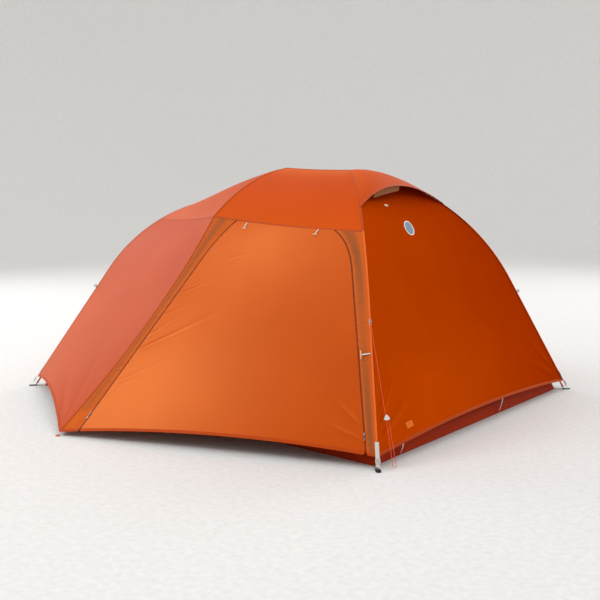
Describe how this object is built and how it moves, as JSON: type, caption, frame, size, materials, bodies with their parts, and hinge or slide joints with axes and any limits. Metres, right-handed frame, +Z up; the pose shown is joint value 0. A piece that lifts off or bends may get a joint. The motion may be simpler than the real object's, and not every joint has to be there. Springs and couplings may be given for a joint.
{
  "type": "tent on poles",
  "caption": "Backpacking tent on a two-hub pole frame, with an inner tent, a rainfly, and a vestibule with a zipped door on each side.",
  "frame": {"origin": "on the ground, in the middle of the base", "axes": "+X towards the head end, -Y towards the front door's side, +Z up"},
  "size_m": [2.4503, 2.8736, 1.2207],
  "materials": {
    "roof_cloth": "satin",
    "side_cloth": "satin",
    "door_cloth": "satin",
    "end_cloth": "satin",
    "floor_cloth": "satin",
    "mesh_cloth": "matte",
    "patch_cloth": "matte",
    "tag_cloth": "satin",
    "webbing": "matte",
    "cord_orange": "matte",
    "shock_cord": "matte",
    "pole_alloy": "satin",
    "dark_metal": "satin",
    "zip_metal": "satin",
    "dark_plastic": "matte",
    "clip_plastic": "satin",
    "zip_tape": "matte"
  },
  "bodies": {
    "tent_frame": {"floor_sheet": "floor_cloth", "tub_walls": "floor_cloth", "inner_head_wall": "mesh_cloth", "inner_foot_wall": "mesh_cloth", "inner_roof": "mesh_cloth", "inner_side_walls": "mesh_cloth", "head_hub": "dark_plastic", "foot_hub": "dark_plastic", "brow_clip": "dark_plastic", "brow_pole": "pole_alloy", "ridge_pole": "pole_alloy", "front_head_leg_pole": "pole_alloy", "rear_head_leg_pole": "pole_alloy", "front_foot_leg_pole": "pole_alloy", "rear_foot_leg_pole": "pole_alloy", "pole_ferrules": "pole_alloy", "pole_tips": "dark_metal", "shock_cords": "shock_cord", "pole_clips": "clip_plastic", "corner_plates": "dark_plastic", "floor_corner_straps": "webbing"},
    "front_inner_door": {"front_inner_door": "mesh_cloth"},
    "front_fly_door": {"front_fly_door": "door_cloth"},
    "front_left_slider": {"front_left_slider": "zip_metal"},
    "front_right_slider": {"front_right_slider": "zip_metal"},
    "front_door_toggle_1": {"front_door_toggle_1": "webbing"},
    "front_door_toggle_2": {"front_door_toggle_2": "webbing"},
    "front_side_toggle": {"front_side_toggle": "webbing"},
    "rear_inner_door": {"rear_inner_door": "mesh_cloth"},
    "rear_fly_door": {"rear_fly_door": "door_cloth"},
    "rear_left_slider": {"rear_left_slider": "zip_metal"},
    "rear_right_slider": {"rear_right_slider": "zip_metal"},
    "rear_door_toggle_1": {"rear_door_toggle_1": "webbing"},
    "rear_door_toggle_2": {"rear_door_toggle_2": "webbing"},
    "rear_side_toggle": {"rear_side_toggle": "webbing"},
    "rainfly": {"end_hem_straps": "webbing", "end_patch_blank": "patch_cloth", "fly_corner_buckles": "clip_plastic", "fly_corner_straps": "webbing", "fly_zips": "zip_tape", "foot_end_panel": "end_cloth", "front_left_zip_flap": "side_cloth", "front_right_zip_flap": "side_cloth", "front_roof_foot_panel": "side_cloth", "front_roof_head_panel": "roof_cloth", "front_vestibule_panel": "side_cloth", "guyline": "cord_orange", "guyline_knot": "cord_orange", "guyout_rings": "clip_plastic", "head_end_panel": "end_cloth", "hem_tag": "tag_cloth", "line_tensioner": "clip_plastic", "rear_left_zip_flap": "side_cloth", "rear_right_zip_flap": "side_cloth", "rear_roof_foot_panel": "side_cloth", "rear_roof_head_panel": "roof_cloth", "rear_vestibule_panel": "side_cloth", "vent_hood": "roof_cloth", "vent_tab": "webbing", "vestibule_stake_loops": "cord_orange"}
  },
  "joints": [
    {"name": "rainfly_lift", "type": "slide", "parent": "tent_frame", "child": "rainfly", "axis": [0, 0, 1], "range_m": [0, 1.4]},
    {"name": "front_fly_door_swing", "type": "hinge", "parent": "rainfly", "child": "front_fly_door", "pos_m": [0.37085, -0.5305, 0.94274], "axis": [-0.9927, -0.105, 0.0601], "range_deg": [0, 65]},
    {"name": "front_inner_door_swing", "type": "hinge", "parent": "tent_frame", "child": "front_inner_door", "pos_m": [0.64532, -0.79582, 0.19034], "axis": [0.2539, -0.3325, -0.9083], "range_deg": [0, 35]},
    {"name": "front_left_slider_run", "type": "slide", "parent": "rainfly", "child": "front_left_slider", "axis": [0.1402, 0.655, 0.7426], "range_m": [0, 0.82]},
    {"name": "front_right_slider_run", "type": "slide", "parent": "rainfly", "child": "front_right_slider", "axis": [-0.3677, 0.3854, 0.8463], "range_m": [0, 0.66]},
    {"name": "front_door_toggle_1_swing", "type": "hinge", "parent": "front_fly_door", "child": "front_door_toggle_1", "pos_m": [0.16239, -0.56179, 0.94804], "axis": [-0.9906, -0.1047, 0.0876], "range_deg": [0, 85]},
    {"name": "front_door_toggle_2_swing", "type": "hinge", "parent": "front_fly_door", "child": "front_door_toggle_2", "pos_m": [0.56973, -0.51969, 0.92531], "axis": [-0.9939, -0.1051, 0.034], "range_deg": [0, 85]},
    {"name": "front_side_toggle_swing", "type": "hinge", "parent": "rainfly", "child": "front_side_toggle", "pos_m": [1.03287, -0.75833, 0.43088], "axis": [-0.3332, 0.3828, 0.8616], "range_deg": [0, 80]},
    {"name": "rear_fly_door_swing", "type": "hinge", "parent": "rainfly", "child": "rear_fly_door", "pos_m": [0.37085, 0.5305, 0.94274], "axis": [0.9927, -0.105, -0.0601], "range_deg": [0, 65]},
    {"name": "rear_inner_door_swing", "type": "hinge", "parent": "tent_frame", "child": "rear_inner_door", "pos_m": [0.64532, 0.79582, 0.19034], "axis": [-0.2539, -0.3325, 0.9083], "range_deg": [0, 35]},
    {"name": "rear_left_slider_run", "type": "slide", "parent": "rainfly", "child": "rear_left_slider", "axis": [0.1402, -0.655, 0.7426], "range_m": [0, 0.82]},
    {"name": "rear_right_slider_run", "type": "slide", "parent": "rainfly", "child": "rear_right_slider", "axis": [-0.3676, -0.3854, 0.8463], "range_m": [0, 0.66]},
    {"name": "rear_door_toggle_1_swing", "type": "hinge", "parent": "rear_fly_door", "child": "rear_door_toggle_1", "pos_m": [0.16239, 0.56179, 0.94804], "axis": [0.9906, -0.1047, -0.0876], "range_deg": [0, 85]},
    {"name": "rear_door_toggle_2_swing", "type": "hinge", "parent": "rear_fly_door", "child": "rear_door_toggle_2", "pos_m": [0.56973, 0.51969, 0.92531], "axis": [0.9939, -0.1051, -0.034], "range_deg": [0, 85]},
    {"name": "rear_side_toggle_swing", "type": "hinge", "parent": "rainfly", "child": "rear_side_toggle", "pos_m": [1.03287, 0.75833, 0.43088], "axis": [0.3332, 0.3828, -0.8616], "range_deg": [0, 80]}
  ]
}
